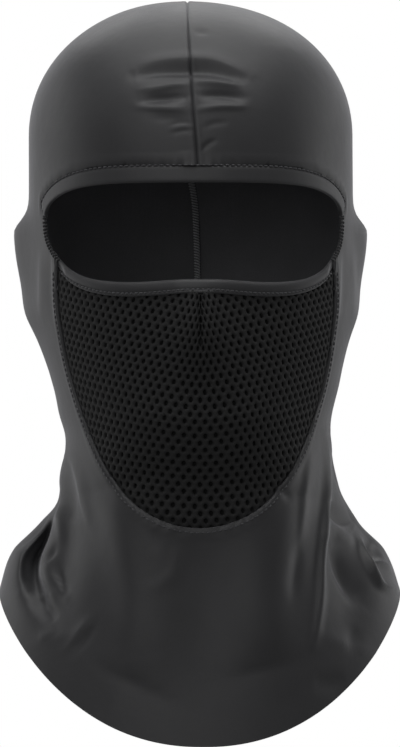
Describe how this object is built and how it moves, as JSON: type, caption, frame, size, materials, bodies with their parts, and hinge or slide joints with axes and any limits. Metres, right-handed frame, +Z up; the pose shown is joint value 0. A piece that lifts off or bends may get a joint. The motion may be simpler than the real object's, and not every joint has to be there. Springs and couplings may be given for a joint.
{
  "type": "balaclava",
  "caption": "Stretch jersey hood for head and neck with a wide eye opening and a breathable mesh panel over nose, mouth and chin.",
  "frame": {"origin": "where the crown of the wearer's head touches the inside of the hood", "axes": "+Z up along the head, the face looks along -Y, +X is the right of someone looking at the face"},
  "size_m": [0.1948, 0.2071, 0.3539],
  "materials": {
    "shell_jersey": "satin",
    "spacer_mesh": "matte",
    "thread": "satin"
  },
  "bodies": {
    "root": {"hood_shell": "shell_jersey", "brow_hem": "shell_jersey", "lower_eye_binding": "shell_jersey", "face_mesh": "spacer_mesh", "slot_corner_left": "thread", "slot_corner_right": "thread", "centre_seam_allowance": "shell_jersey", "centre_seam_overlock": "thread", "mesh_seam_allowance": "spacer_mesh", "mesh_seam_overlock": "thread", "nose_dart": "spacer_mesh", "brow_hem_stitching": "thread", "binding_stitching": "thread", "mesh_seam_stitching": "thread"}
  },
  "joints": []
}
